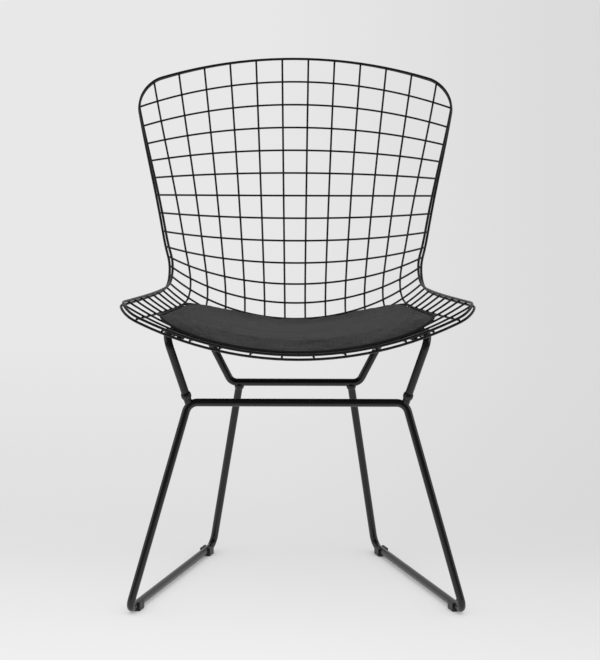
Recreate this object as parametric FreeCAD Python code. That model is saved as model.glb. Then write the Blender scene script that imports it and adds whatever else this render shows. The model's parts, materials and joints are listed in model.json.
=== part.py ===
# Wire mesh side chair: a welded wire shell on a bent rod sled base, with a loose seat pad.
# Millimetres. +Z is up and the sitter faces -Y.
# The origin is on the floor, in the middle of the chair's footprint.
import FreeCAD, Part
import functools
import math
import os
from FreeCAD import Placement, Rotation, Vector

# Wire and rod
WIRE_D = 3.2
RIM_D = 4.0
ROD_D = 12.0
WELD_BITE = 0.3

# Side profile of the shell, from the front edge to the top edge
FRONT_EDGE_Y = -284.7
FRONT_EDGE_Z = 406.0
SEAT_LENGTH = 327.6
SEAT_FRONT_PITCH = -8.4
SEAT_REAR_PITCH = -2.9
BEND_RADIUS = 170.5
BACK_LENGTH = 331.0
BACK_LOW_PITCH = 70.2
BACK_TOP_PITCH = 85.4
BEND_EASE = 60.0

# Hollow of the shell across: radius at the front edge, at the tightest place and at the top
HOLLOW_FRONT_R = 536.0
HOLLOW_WAIST_R = 271.0
HOLLOW_TOP_R = 671.0
HOLLOW_WAIST_AT = 468.0
HOLLOW_SOFTNESS_RATIO = 0.09
TOP_LEAN_ANGLE = 60.0
TOP_LEAN_FROM = 509.0

# Half width of the shell along the wire at the front edge, and how much narrower it gets above
HALF_WIDTH = 283.0
WAIST_IN = 56.4
TOP_IN = 10.7
WAIST_AT = 399.7
WAIST_SOFTNESS_RATIO = 0.252
FRONT_CORNER_RADIUS = 45.0
TOP_CORNER_RADIUS = 46.0

# Mesh: counts of wires, and how far inside the edge the outermost long wires run
LONG_WIRES = 12
CROSS_WIRES = 22
EDGE_GAP_FRONT = 37.15
EDGE_GAP_WAIST = 44.0
EDGE_GAP_TOP = 32.5
LONG_WAIST_AT = 431.3
LONG_SOFTNESS_RATIO = 0.136
LONG_CROWD_RATIO = 0.053

# Sled base, as the corners where the straight rod axes would meet
GLIDE_FLOOR = 2.5
FRONT_FOOT_X = 254.0
FRONT_FOOT_Y = -246.9
REAR_FOOT_X = 135.0
REAR_FOOT_Y = 153.1
FRONT_BAR_HALF = 163.6
FRONT_BAR_Y = -214.9
FRONT_BAR_Z = 323.0
REAR_BAR_HALF = 103.0
REAR_BAR_Y = 63.1
REAR_BAR_Z = 302.0
REAR_LEG_TOP_X = 89.5
FRONT_FOOT_BEND = 15.0
REAR_FOOT_BEND = 16.0
FRONT_BAR_BEND = 18.0
REAR_BAR_BEND = 15.0
FRONT_ELBOW_BEND = 16.0
REAR_ELBOW_BEND = 20.0

# Side rails that carry the shell, each under the second long wire from the edge
RAIL_WIRE_NUMBER = 10
RAIL_FRONT_AT = 60.0
RAIL_REAR_AT = 322.0
RAIL_GAP = 0.2
FRONT_ELBOW_RUN = 20.0
REAR_ELBOW_RUN = 16.0

# Seat clips, each a steel strap round one long wire and the rail, halfway between two cross wires
CLIP_ROW_NUMBERS = (2, 7)
CLIP_WIDTH = 14.0
CLIP_SHEET = 1.6
CLIP_FIT = 0.05
CLIP_EAR = 13.0
CLIP_EAR_GAP = 1.5
CLIP_EAR_ROUND = 5.0
BOLT_D = 5.0
BOLT_HOLE_GAP = 0.2
BOLT_HEAD_D = 9.5
BOLT_HEAD_H = 3.0
BOLT_HEAD_ROUND = 1.8
BOLT_SOCKET = 3.0
BOLT_SOCKET_DEPTH = 1.8
NUT_ACROSS_FLATS = 8.0
NUT_H = 4.0
BOLT_TAIL = 1.2

# Glides, saddles clipped on the skids from below
GLIDE_LENGTH = 20.0
GLIDE_WALL = 2.7
GLIDE_RISE = 5.5
GLIDE_MOUTH = 9.0
GLIDE_ROUND = 1.6
FRONT_GLIDE_FROM_CORNER = 37.0
REAR_GLIDE_FROM_CORNER = 33.0

# Weld beads where the rods meet
BEAD_RISE = 1.9
BEAD_ROOT = 0.8
BEAD_LENGTH = 13.0

# Seat pad, lying on the cross wires: a band all round, a welt on it and a crowned top
PAD_FRONT_AT = 21.0
PAD_REAR_AT = 404.0
PAD_EDGE_IN = 66.0
PAD_TAPER = 22.0
PAD_FRONT_CORNER_ACROSS = 77.0
PAD_FRONT_CORNER_ALONG = 75.0
PAD_REAR_CORNER_ACROSS = 120.0
PAD_REAR_CORNER_ALONG = 144.0
PAD_BAND = 5.5
PAD_BAND_BULGE = 0.8
PAD_EDGE = 3.0
PAD_CROWN = 12.5
PAD_CROWN_RATIO = 0.7
PAD_LAYER_BITE = 1.0
PAD_GAP = 0.3
PAD_CORNER_ANGLES = (0, 20, 38, 54, 72, 90)
PIPING_D = 4.0

# Loops under the pad, each closed round a cross wire and held by a stud
LOOP_ROW_NUMBERS = (2, 8)
LOOP_WIRE_NUMBERS = (2.5, 8.5)
LOOP_WIDTH = 15.0
LOOP_SHEET = 1.2
LOOP_FIT = 0.4
STUD_D = 8.0
STUD_H = 2.0

# Parts of an outline on one side, from the middle of one end to the middle of the other
OUTLINE = ("end", "corner", "side", "corner", "end")

# Steps of the working
STEP = 0.05
OUTLINE_STEP_RATIO = 0.0005
ARC_ERROR = 0.1
LINE_PANEL = 12.0


def shell_length():
    """Arc length of the shell's middle line from the front edge to the top edge."""
    turn = math.radians(BACK_LOW_PITCH - SEAT_REAR_PITCH)
    return SEAT_LENGTH + BEND_RADIUS * turn + BACK_LENGTH


SHELL = shell_length()
BEND_END = SHELL - BACK_LENGTH
HALF_WIDTH_WAIST = HALF_WIDTH - WAIST_IN
HALF_WIDTH_TOP = HALF_WIDTH - TOP_IN
MIDDLE_WIRE = (LONG_WIRES - 1) / 2
LONG_GAP_FRONT = (HALF_WIDTH - EDGE_GAP_FRONT) / MIDDLE_WIRE
LONG_GAP_WAIST = (HALF_WIDTH_WAIST - EDGE_GAP_WAIST) / MIDDLE_WIRE
LONG_GAP_TOP = (HALF_WIDTH_TOP - EDGE_GAP_TOP) / MIDDLE_WIRE
PAD_HALF_WIDTH = HALF_WIDTH - PAD_EDGE_IN
ROW_PITCH = SHELL / (CROSS_WIRES + 1)
WIRE_R = WIRE_D / 2
RIM_R = RIM_D / 2
ROD_R = ROD_D / 2
PIPING_R = PIPING_D / 2
LAYER = WIRE_R - WELD_BITE / 2
RIM_SEAT = WIRE_R + RIM_R - WELD_BITE
PAD_BASE = LAYER + WIRE_R + PAD_GAP
SKID_Z = GLIDE_FLOOR + ROD_R


def smooth(share):
    """An even step from 0 to 1."""
    share = min(1.0, max(0.0, share))
    return share * share * (3 - 2 * share)


def valley(s, low_at, front, low, top, softness):
    """A size that falls from the front edge to its lowest place and rises to the top edge."""
    far = low_at if s < low_at else SHELL - low_at
    edge = front if s < low_at else top
    reach = abs(s - low_at) / far
    share = (math.hypot(reach, softness) - softness) / (math.hypot(1, softness) - softness)
    return low + (edge - low) * share


def eased_step(x):
    """Area under a step from 0 to 1 at zero, eased over the length of the bend's run-in."""
    ease = BEND_EASE / 2
    if abs(x) >= ease:
        return max(0.0, x)
    return (x + ease) ** 2 / (4 * ease)


def pitch_at(s):
    """Pitch of the middle line, s along it, in radians."""
    seat = math.radians(SEAT_REAR_PITCH - SEAT_FRONT_PITCH) / SEAT_LENGTH
    bend = 1 / BEND_RADIUS
    back = math.radians(BACK_TOP_PITCH - BACK_LOW_PITCH) / BACK_LENGTH
    run_in = (bend - seat) * eased_step(s - SEAT_LENGTH)
    run_out = (back - bend) * eased_step(s - BEND_END)
    return math.radians(SEAT_FRONT_PITCH) + seat * s + run_in + run_out


@functools.lru_cache(maxsize=None)
def middle_line(s):
    """Place (y, z) and pitch of the shell's middle line, s along it from the front edge."""
    panels = max(1, math.ceil(abs(s) / LINE_PANEL))
    step = s / panels
    y, z = FRONT_EDGE_Y, FRONT_EDGE_Z
    for panel in range(panels):
        pitches = [pitch_at(step * (panel + part)) for part in (0, 0.5, 1)]
        y += step / 6 * sum(share * math.cos(pitch) for share, pitch in zip((1, 4, 1), pitches))
        z += step / 6 * sum(share * math.sin(pitch) for share, pitch in zip((1, 4, 1), pitches))
    return y, z, pitch_at(s)


def shell_point(s, u):
    """Point of the shell's mid surface: s along the middle line, u across along the wire."""
    y, z, pitch = middle_line(s)
    hollow = valley(s, HOLLOW_WAIST_AT, 1 / HOLLOW_FRONT_R, 1 / HOLLOW_WAIST_R,
                    1 / HOLLOW_TOP_R, HOLLOW_SOFTNESS_RATIO)
    lean = max(0.0, (s - TOP_LEAN_FROM) / (SHELL - TOP_LEAN_FROM))
    tilt = pitch + math.pi / 2 + math.radians(TOP_LEAN_ANGLE) * lean * lean
    rise = (1 - math.cos(hollow * u)) / hollow
    return Vector(math.sin(hollow * u) / hollow, y + rise * math.cos(tilt), z + rise * math.sin(tilt))


def shell_normal(s, u):
    """Unit normal of the mid surface, towards the sitter."""
    across = shell_point(s, u + STEP) - shell_point(s, u - STEP)
    along = shell_point(s + STEP, u) - shell_point(s - STEP, u)
    return across.cross(along).normalize()


def above_shell(s, u, height):
    """Point at a height over the mid surface, on the sitter's side."""
    return shell_point(s, u) + shell_normal(s, u) * height


def half_width(s):
    """Half width of the shell along the wire."""
    return valley(s, WAIST_AT, HALF_WIDTH, HALF_WIDTH_WAIST, HALF_WIDTH_TOP, WAIST_SOFTNESS_RATIO)


def corner_cut(depth, radius):
    """How far a rounded corner stands inside the square one, at a depth into its quarter circle."""
    depth = min(radius, max(0.0, depth))
    return radius - math.sqrt(radius * radius - depth * depth)


def edge_at(s):
    """Half width of the shell with its rounded corners."""
    front = corner_cut(FRONT_CORNER_RADIUS - s, FRONT_CORNER_RADIUS)
    top = corner_cut(s - SHELL + TOP_CORNER_RADIUS, TOP_CORNER_RADIUS)
    return half_width(s) - front - top


def long_wire_u(s, number):
    """Place across of a long wire, numbered from one side to the other."""
    steps = number - MIDDLE_WIRE
    gap = valley(s, LONG_WAIST_AT, LONG_GAP_FRONT, LONG_GAP_WAIST, LONG_GAP_TOP, LONG_SOFTNESS_RATIO)
    ahead = min(1.0, max(0.0, 1 - s / LONG_WAIST_AT))
    return steps * gap * (1 + LONG_CROWD_RATIO * ahead * (1 - (steps / MIDDLE_WIRE) ** 2))


def long_wire_ends(number):
    """Where a long wire begins and ends along the shell, between the two rims."""
    front = abs(long_wire_u(0, number)) - half_width(0) + FRONT_CORNER_RADIUS
    top = abs(long_wire_u(SHELL, number)) - half_width(SHELL) + TOP_CORNER_RADIUS
    begin = corner_cut(front, FRONT_CORNER_RADIUS) - RIM_R / 2
    return begin, SHELL - corner_cut(top, TOP_CORNER_RADIUS) + RIM_R / 2


def arc_from(start, heading, end):
    """Arc or line that leaves start along heading and ends at end."""
    chord = end - start
    length = chord.Length
    chord = chord * (1 / length)
    sideways = heading - chord * heading.dot(chord)
    if sideways.Length < 1e-6:
        return Part.LineSegment(start, end).toShape()
    half_turn = math.atan2(sideways.Length, heading.dot(chord))
    middle = (start + end) * 0.5 + sideways.normalize() * (length / 2 * math.tan(half_turn / 2))
    return Part.Arc(start, middle, end).toShape()


def two_arcs(start, heading, end, end_heading):
    """Two tangent arcs between two points with their headings."""
    span = end - start
    both = heading + end_heading
    bend = 2 * (1 - heading.dot(end_heading))
    if bend < 1e-9:
        reach = span.dot(span) / (4 * span.dot(end_heading))
    else:
        reach = (math.sqrt(span.dot(both) ** 2 + bend * span.dot(span)) - span.dot(both)) / bend
    joint = (start + heading * reach + end - end_heading * reach) * 0.5
    return [arc_from(start, heading, joint), arc_from(end, end_heading * -1, joint)]


def heading_of(curve, at):
    """Unit heading of a curve given as a function of a length."""
    return (curve(at + STEP) - curve(at - STEP)).normalize()


def arcs_along(curve, low, high, small=STEP):
    """Chain of tangent arcs along a curve, split until it keeps within the allowed error."""
    headings = [(curve(at + small) - curve(at - small)).normalize() for at in (low, high)]
    pair = two_arcs(curve(low), headings[0], curve(high), headings[1])
    chain = Part.Wire(pair)
    for share in (0.25, 0.5, 0.75):
        point = Part.Vertex(curve(low + (high - low) * share))
        if chain.distToShape(point)[0] > ARC_ERROR:
            middle = (low + high) / 2
            return arcs_along(curve, low, middle, small) + arcs_along(curve, middle, high, small)
    return pair


def bent_run(points, radii):
    """Straight runs through points, joined by tangent arcs at the inner ones."""
    edges = []
    start = points[0]
    for before, corner, after, radius in zip(points, points[1:], points[2:], radii):
        back = (before - corner).normalize()
        forth = (after - corner).normalize()
        turn = math.pi - back.getAngle(forth)
        reach = radius * math.tan(turn / 2)
        first = corner + back * reach
        last = corner + forth * reach
        edges.append(Part.LineSegment(start, first).toShape())
        edges.append(arc_from(first, back * -1, last))
        start = last
    edges.append(Part.LineSegment(start, points[-1]).toShape())
    return edges


def tube(edges, radius):
    """Round bar along a chain of edges, given in order."""
    path = Part.Wire(Part.__sortEdges__(edges))
    first = path.OrderedEdges[0]
    begin = path.OrderedVertexes[0].Point
    at = first.FirstParameter
    if first.valueAt(at).distanceToPoint(begin) > 1e-6:
        at = first.LastParameter
    section = Part.Wire([Part.Circle(begin, first.tangentAt(at), radius).toShape()])
    return path.makePipeShell([section], True, False)


def mirrored(shape):
    """The same shape on the other side of the chair."""
    return shape.mirror(Vector(0, 0, 0), Vector(1, 0, 0))


def both_sides(shape):
    """A group of the shape and its mirror image."""
    return Part.makeCompound([shape, mirrored(shape)])


def joined_halves(half):
    """One solid from a half that ends on the middle plane."""
    return half.fuse(mirrored(half)).Solids[0]


def long_wire(number):
    """A wire from the front edge to the top edge, on the far side of the mid surface."""
    def line(s):
        return above_shell(s, long_wire_u(s, number), -LAYER)
    edges = []
    begin, end = long_wire_ends(number)
    stations = [begin, SEAT_LENGTH, BEND_END, end]
    for low, high in zip(stations, stations[1:]):
        edges += arcs_along(line, low, high)
    return tube(edges, WIRE_R)


def cross_wire(number):
    """A wire across the shell in one arc, counted from the front edge."""
    s = ROW_PITCH * number
    reach = edge_at(s) + RIM_R / 2
    left = above_shell(s, -reach, LAYER)
    right = above_shell(s, reach, LAYER)
    return tube([Part.Arc(left, above_shell(s, 0, LAYER), right).toShape()], WIRE_R)


def turned(share):
    """How far the rims have changed from long wires to cross wires, over the middle of a corner."""
    return smooth((share - 0.2) / 0.6)


def rim_place(t):
    """Place (s, u) on the edge outline and how far it is a side: t counts its parts from the top."""
    if t <= 1:
        return SHELL, t * (half_width(SHELL) - TOP_CORNER_RADIUS), 0.0
    if t <= 2:
        angle = (t - 1) * math.pi / 2
        s = SHELL - TOP_CORNER_RADIUS * (1 - math.cos(angle))
        return s, half_width(s) - TOP_CORNER_RADIUS * (1 - math.sin(angle)), turned(t - 1)
    if t <= 3:
        side = SHELL - TOP_CORNER_RADIUS - FRONT_CORNER_RADIUS
        s = FRONT_CORNER_RADIUS + (3 - t) * side
        return s, half_width(s), 1.0
    if t <= 4:
        angle = (t - 3) * math.pi / 2
        s = FRONT_CORNER_RADIUS * (1 - math.sin(angle))
        return s, half_width(s) - FRONT_CORNER_RADIUS * (1 - math.cos(angle)), turned(4 - t)
    return 0.0, (len(OUTLINE) - t) * (half_width(0) - FRONT_CORNER_RADIUS), 0.0


def rim(upper):
    """Edge rod all round the shell, on the sitter's side or under it."""
    edge_height = RIM_SEAT - LAYER if upper else -RIM_SEAT - LAYER

    def line(t):
        if t < 0 or t > len(OUTLINE):
            inside = line(-t if t < 0 else 2 * len(OUTLINE) - t)
            return Vector(-inside.x, inside.y, inside.z)
        s, u, side = rim_place(t)
        return above_shell(s, u, edge_height + 2 * LAYER * side)

    edges = []
    for part in range(len(OUTLINE)):
        edges += arcs_along(line, part, part + 1, OUTLINE_STEP_RATIO)
    return joined_halves(tube(edges, RIM_R))


def rail_line(s):
    """Axis of the side rail, just under its long wire."""
    drop = LAYER + WIRE_R + RAIL_GAP + ROD_R
    return above_shell(s, long_wire_u(s, RAIL_WIRE_NUMBER), -drop)


def upper_rod_corners():
    """Corners of the upper rod, from the strut's foot to the middle of the rear bar."""
    front_end = rail_line(RAIL_FRONT_AT)
    rear_end = rail_line(RAIL_REAR_AT)
    return [Vector(FRONT_BAR_HALF, FRONT_BAR_Y, FRONT_BAR_Z),
            front_end - heading_of(rail_line, RAIL_FRONT_AT) * FRONT_ELBOW_RUN,
            front_end,
            rear_end,
            rear_end + heading_of(rail_line, RAIL_REAR_AT) * REAR_ELBOW_RUN,
            Vector(REAR_BAR_HALF, REAR_BAR_Y, REAR_BAR_Z),
            Vector(0, REAR_BAR_Y, REAR_BAR_Z)]


def upper_rod_path():
    """Front strut, side rail, rear strut and half of the rear bar."""
    corners = upper_rod_corners()
    front = bent_run(corners[:3], [FRONT_ELBOW_BEND])
    rail = arcs_along(rail_line, RAIL_FRONT_AT, RAIL_REAR_AT)
    rear = bent_run(corners[3:], [REAR_ELBOW_BEND, REAR_BAR_BEND])
    return front + rail + rear


def lower_rod_points():
    """Corners of the lower rod, from the rear leg's top to the middle of the front bar."""
    return [Vector(REAR_LEG_TOP_X, REAR_BAR_Y, REAR_BAR_Z),
            Vector(REAR_FOOT_X, REAR_FOOT_Y, SKID_Z),
            Vector(FRONT_FOOT_X, FRONT_FOOT_Y, SKID_Z),
            Vector(FRONT_BAR_HALF, FRONT_BAR_Y, FRONT_BAR_Z),
            Vector(0, FRONT_BAR_Y, FRONT_BAR_Z)]


def lower_rod_half():
    """One side of the lower rod, with the top of the rear leg coped to the rear bar."""
    radii = [REAR_FOOT_BEND, FRONT_FOOT_BEND, FRONT_BAR_BEND]
    pieces = tube(bent_run(lower_rod_points(), radii), ROD_R).cut(rear_bar())
    return max(pieces.Solids, key=lambda piece: piece.Volume)


def straight_rod(start, heading):
    """A short straight length of rod, to cope or cut what meets it."""
    return Part.makeCylinder(ROD_R, REAR_BAR_HALF, start, heading)


def rear_bar():
    """The straight part of the rear bar on one side."""
    return straight_rod(Vector(0, REAR_BAR_Y, REAR_BAR_Z), Vector(1, 0, 0))


def front_bar_bend():
    """The top of the front leg and the front bar, to cope the strut's foot."""
    foot, corner, centre = lower_rod_points()[2:]
    return tube(bent_run([(foot + corner) * 0.5, corner, centre], [FRONT_BAR_BEND]), ROD_R)


def upper_rod_half():
    """One side of the upper rod, with the foot of the strut coped to the front bar."""
    pieces = tube(upper_rod_path(), ROD_R).cut(front_bar_bend())
    return max(pieces.Solids, key=lambda piece: piece.Volume)


def frame_at(origin, x_axis, z_axis):
    """Placement with its origin and two square axes given."""
    y_axis = z_axis.cross(x_axis)
    return Placement(origin, Rotation(x_axis, y_axis, z_axis, "ZXY"))


def extruded(wires, depth):
    """Plate of a depth centred on the working plane, from an outline and its holes."""
    face = Part.Face(wires)
    return face.extrude(Vector(0, 0, depth)).translated(Vector(0, 0, -depth / 2))


def box_between(low, high):
    """Box between two corners."""
    size = high - low
    return Part.makeBox(size.x, size.y, size.z, low)


def clip_place(row):
    """Placement of a clip: x inwards, y up to the long wire, z along the rail. Also the wire's height."""
    s = ROW_PITCH * (row + 0.5)
    number = RAIL_WIRE_NUMBER
    rail = rail_line(s)
    wire = above_shell(s, long_wire_u(s, number), -LAYER)
    along = heading_of(rail_line, s)
    up = wire - rail
    up = (up - along * up.dot(along)).normalize()
    return frame_at(rail, up.cross(along), along), (wire - rail).dot(up)


def strap_outline(grow, height):
    """Taut outline round the rod at the origin and the wire at a height above it."""
    big = ROD_R + grow
    small = WIRE_R + grow
    slope = math.acos((big - small) / height)
    side, rise = math.sin(slope), math.cos(slope)
    low_right = Vector(big * side, big * rise, 0)
    low_left = Vector(-big * side, big * rise, 0)
    top_right = Vector(small * side, height + small * rise, 0)
    top_left = Vector(-small * side, height + small * rise, 0)
    return Part.Wire([Part.LineSegment(low_right, top_right).toShape(),
                      Part.Arc(top_right, Vector(0, height + small, 0), top_left).toShape(),
                      Part.LineSegment(top_left, low_left).toShape(),
                      Part.Arc(low_left, Vector(0, -big, 0), low_right).toShape()])


def clip_bolt_x():
    """How far inwards of the rail's axis a clip's bolt stands."""
    return ROD_R + CLIP_SHEET + CLIP_EAR / 2


def seat_clip(row):
    """Strap with two ears, bent round a long wire and the rail."""
    place, height = clip_place(row)
    reach = ROD_R + CLIP_SHEET + CLIP_EAR
    ear = CLIP_EAR_GAP / 2 + CLIP_SHEET
    half = CLIP_WIDTH / 2
    ears = box_between(Vector(0, -ear, -half), Vector(reach, ear, half))
    corners = [edge for edge in ears.Edges if edge.BoundBox.YLength > ear and edge.CenterOfMass.x > reach / 2]
    ears = ears.makeFillet(min(CLIP_EAR_ROUND, half - CLIP_SHEET), corners)
    body = extruded([strap_outline(CLIP_FIT + CLIP_SHEET, height)], CLIP_WIDTH).fuse(ears)
    hollow = extruded([strap_outline(CLIP_FIT, height)], CLIP_WIDTH * 2)
    slot_low = Vector(0, -CLIP_EAR_GAP / 2, -CLIP_WIDTH)
    slot = box_between(slot_low, Vector(reach * 2, CLIP_EAR_GAP / 2, CLIP_WIDTH))
    hole_foot = Vector(clip_bolt_x(), -reach, 0)
    hole = Part.makeCylinder(BOLT_D / 2 + BOLT_HOLE_GAP, 2 * reach, hole_foot, Vector(0, 1, 0))
    clip = body.cut(hollow).cut(slot).cut(hole)
    clip.Placement = place
    return clip


def hexagon(across, height):
    """Six-sided bar standing on the working plane."""
    radius = across / math.sqrt(3)
    angles = [turn * math.pi / 3 for turn in range(7)]
    corners = [Vector(radius * math.cos(angle), radius * math.sin(angle), 0) for angle in angles]
    return Part.Face(Part.makePolygon(corners)).extrude(Vector(0, 0, height))


def clip_bolt(row):
    """Button head bolt through both ears, its head below."""
    ear = CLIP_EAR_GAP / 2 + CLIP_SHEET
    length = 2 * ear + NUT_H + BOLT_TAIL
    head = Part.makeCylinder(BOLT_HEAD_D / 2, BOLT_HEAD_H)
    outer_edge = [edge for edge in head.Edges if edge.CenterOfMass.z < STEP and edge.Closed]
    head = head.makeFillet(min(BOLT_HEAD_ROUND, BOLT_HEAD_H - STEP), outer_edge)
    socket = hexagon(BOLT_SOCKET, BOLT_SOCKET_DEPTH)
    shank = Part.makeCylinder(BOLT_D / 2, length, Vector(0, 0, BOLT_HEAD_H))
    bolt = head.cut(socket).fuse(shank)
    local = frame_at(Vector(clip_bolt_x(), -ear - BOLT_HEAD_H, 0), Vector(0, 0, 1), Vector(0, 1, 0))
    bolt.Placement = clip_place(row)[0].multiply(local)
    return bolt


def clip_nut(row):
    """Nut on the upper ear."""
    ear = CLIP_EAR_GAP / 2 + CLIP_SHEET
    nut = hexagon(NUT_ACROSS_FLATS, NUT_H).cut(Part.makeCylinder(BOLT_D / 2, NUT_H))
    local = frame_at(Vector(clip_bolt_x(), ear, 0), Vector(0, 0, 1), Vector(0, 1, 0))
    nut.Placement = clip_place(row)[0].multiply(local)
    return nut


def glide(front):
    """Saddle under a skid, open above, with the skid's bore."""
    rear_foot, front_foot = lower_rod_points()[1:3]
    start, other = (front_foot, rear_foot) if front else (rear_foot, front_foot)
    along = (other - start).normalize()
    distance = FRONT_GLIDE_FROM_CORNER if front else REAR_GLIDE_FROM_CORNER
    half = ROD_R + GLIDE_WALL
    low = Vector(-half, -SKID_Z, -GLIDE_LENGTH / 2)
    body = box_between(low, Vector(half, GLIDE_RISE, GLIDE_LENGTH / 2))
    long_edges = [edge for edge in body.Edges if abs(edge.Length - GLIDE_LENGTH) < STEP]
    body = body.makeFillet(GLIDE_ROUND, [edge for edge in long_edges if abs(edge.CenterOfMass.x) > half / 2])
    bore = Part.makeCylinder(ROD_R, GLIDE_LENGTH * 2, Vector(0, 0, -GLIDE_LENGTH))
    mouth_half = GLIDE_MOUTH / 2
    mouth = box_between(Vector(-mouth_half, 0, -GLIDE_LENGTH), Vector(mouth_half, ROD_D, GLIDE_LENGTH))
    saddle = body.cut(bore).cut(mouth)
    up = Vector(0, 0, 1)
    saddle.Placement = frame_at(start + along * distance, up.cross(along), along)
    return saddle


def bead(centre, axis):
    """Swelling of weld round a rod, before the rods are taken out of it."""
    half = BEAD_LENGTH / 2
    root = ROD_R - BEAD_ROOT
    edge = Part.Arc(Vector(root, 0, -half), Vector(ROD_R + BEAD_RISE, 0, 0), Vector(root, 0, half)).toShape()
    back = Part.LineSegment(Vector(root, 0, half), Vector(root, 0, -half)).toShape()
    ring = Part.Face(Part.Wire([edge, back])).revolve(Vector(0, 0, 0), Vector(0, 0, 1), 360)
    ring.Placement = Placement(centre, Rotation(Vector(0, 0, 1), axis))
    return ring


def weld_beads():
    """Beads under the rear bar and at the struts' feet, on one side."""
    leg_top, rear_foot = lower_rod_points()[:2]
    leg = (rear_foot - leg_top).normalize()
    strut_foot, elbow = upper_rod_corners()[:2]
    strut = (elbow - strut_foot).normalize()
    leg_weld = bead(leg_top + leg * ROD_R, leg).cut(straight_rod(leg_top, leg))
    strut_weld = bead(strut_foot + strut * ROD_D, strut).cut(straight_rod(strut_foot, strut))
    welds = [leg_weld.cut(rear_bar()), strut_weld.cut(front_bar_bend())]
    return Part.makeCompound([max(weld.Solids, key=lambda piece: piece.Volume) for weld in welds])


def pad_half_width(s, inset):
    """Half width of the pad along the shell, inside its outline by an inset."""
    front, rear = PAD_FRONT_AT + PAD_FRONT_CORNER_ALONG, PAD_REAR_AT - PAD_REAR_CORNER_ALONG
    side = PAD_HALF_WIDTH - PAD_TAPER * min(1.0, max(0.0, (s - front) / (rear - front)))
    if s < front:
        off = (front - s) / (PAD_FRONT_CORNER_ALONG - inset)
        return side - inset - (PAD_FRONT_CORNER_ACROSS - inset) * (1 - math.sqrt(max(0.0, 1 - off * off)))
    if s > rear:
        off = (s - rear) / (PAD_REAR_CORNER_ALONG - inset)
        return side - inset - (PAD_REAR_CORNER_ACROSS - inset) * (1 - math.sqrt(max(0.0, 1 - off * off)))
    return side - inset


def pad_point(s, u, height):
    """Point over the shell in the upright plane of the section at s."""
    y, z, pitch = middle_line(s)
    hollow = valley(s, HOLLOW_WAIST_AT, 1 / HOLLOW_FRONT_R, 1 / HOLLOW_WAIST_R,
                    1 / HOLLOW_TOP_R, HOLLOW_SOFTNESS_RATIO)
    radius = 1 / hollow
    x = (radius - height) * math.sin(hollow * u)
    rise = radius - (radius - height) * math.cos(hollow * u)
    tilt = pitch + math.pi / 2
    return Vector(x, y + rise * math.cos(tilt), z + rise * math.sin(tilt))


def side_edge(start, middle, end, bulge):
    """Side of a pad section: an arc through its middle, or a line where it has no bulge."""
    if bulge:
        return Part.Arc(start, middle, end).toShape()
    return Part.LineSegment(start, end).toShape()


def pad_section(s, half, low, high, crown, bulge):
    """Closed section of a pad layer: arcs below and above, and a side edge at each end."""
    middle = (low + high) / 2
    low_left, low_right = pad_point(s, -half, low), pad_point(s, half, low)
    high_left, high_right = pad_point(s, -half, high), pad_point(s, half, high)
    return Part.Wire([Part.Arc(low_left, pad_point(s, 0, low), low_right).toShape(),
                      side_edge(low_right, pad_point(s, half + bulge, middle), high_right, bulge),
                      Part.Arc(high_right, pad_point(s, 0, high + crown), high_left).toShape(),
                      side_edge(high_left, pad_point(s, -half - bulge, middle), low_left, bulge)])


def pad_stations(inset):
    """Places of the pad's sections, closer together round its corners."""
    front, rear = PAD_FRONT_AT + inset, PAD_REAR_AT - inset
    corner_front, corner_rear = PAD_FRONT_CORNER_ALONG - inset, PAD_REAR_CORNER_ALONG - inset
    places = [front + corner_front * (1 - math.cos(math.radians(angle))) for angle in PAD_CORNER_ANGLES]
    places += [(places[-1] + rear - corner_rear) / 2]
    places += [rear - corner_rear * (1 - math.cos(math.radians(angle))) for angle in PAD_CORNER_ANGLES[::-1]]
    return places


def crown_at(s):
    """Height of the pad's crown along the seat."""
    share = (s - PAD_FRONT_AT) / (PAD_REAR_AT - PAD_FRONT_AT)
    return PAD_CROWN * math.sin(math.pi * min(1.0, max(0.0, share))) ** PAD_CROWN_RATIO


def seat_pad():
    """Pad with its band all round and its crowned top inside the welt."""
    band_top = PAD_BASE + PAD_BAND
    band = [pad_section(s, pad_half_width(s, 0), PAD_BASE, band_top, 0, PAD_BAND_BULGE)
            for s in pad_stations(0)]
    inset = PIPING_D + PAD_GAP
    top_base, edge_top = band_top - PAD_LAYER_BITE, band_top + PAD_EDGE
    top = [pad_section(s, pad_half_width(s, inset), top_base, edge_top, crown_at(s), 0)
           for s in pad_stations(inset)]
    return Part.makeLoft(band, True, True).fuse(Part.makeLoft(top, True, True))


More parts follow.
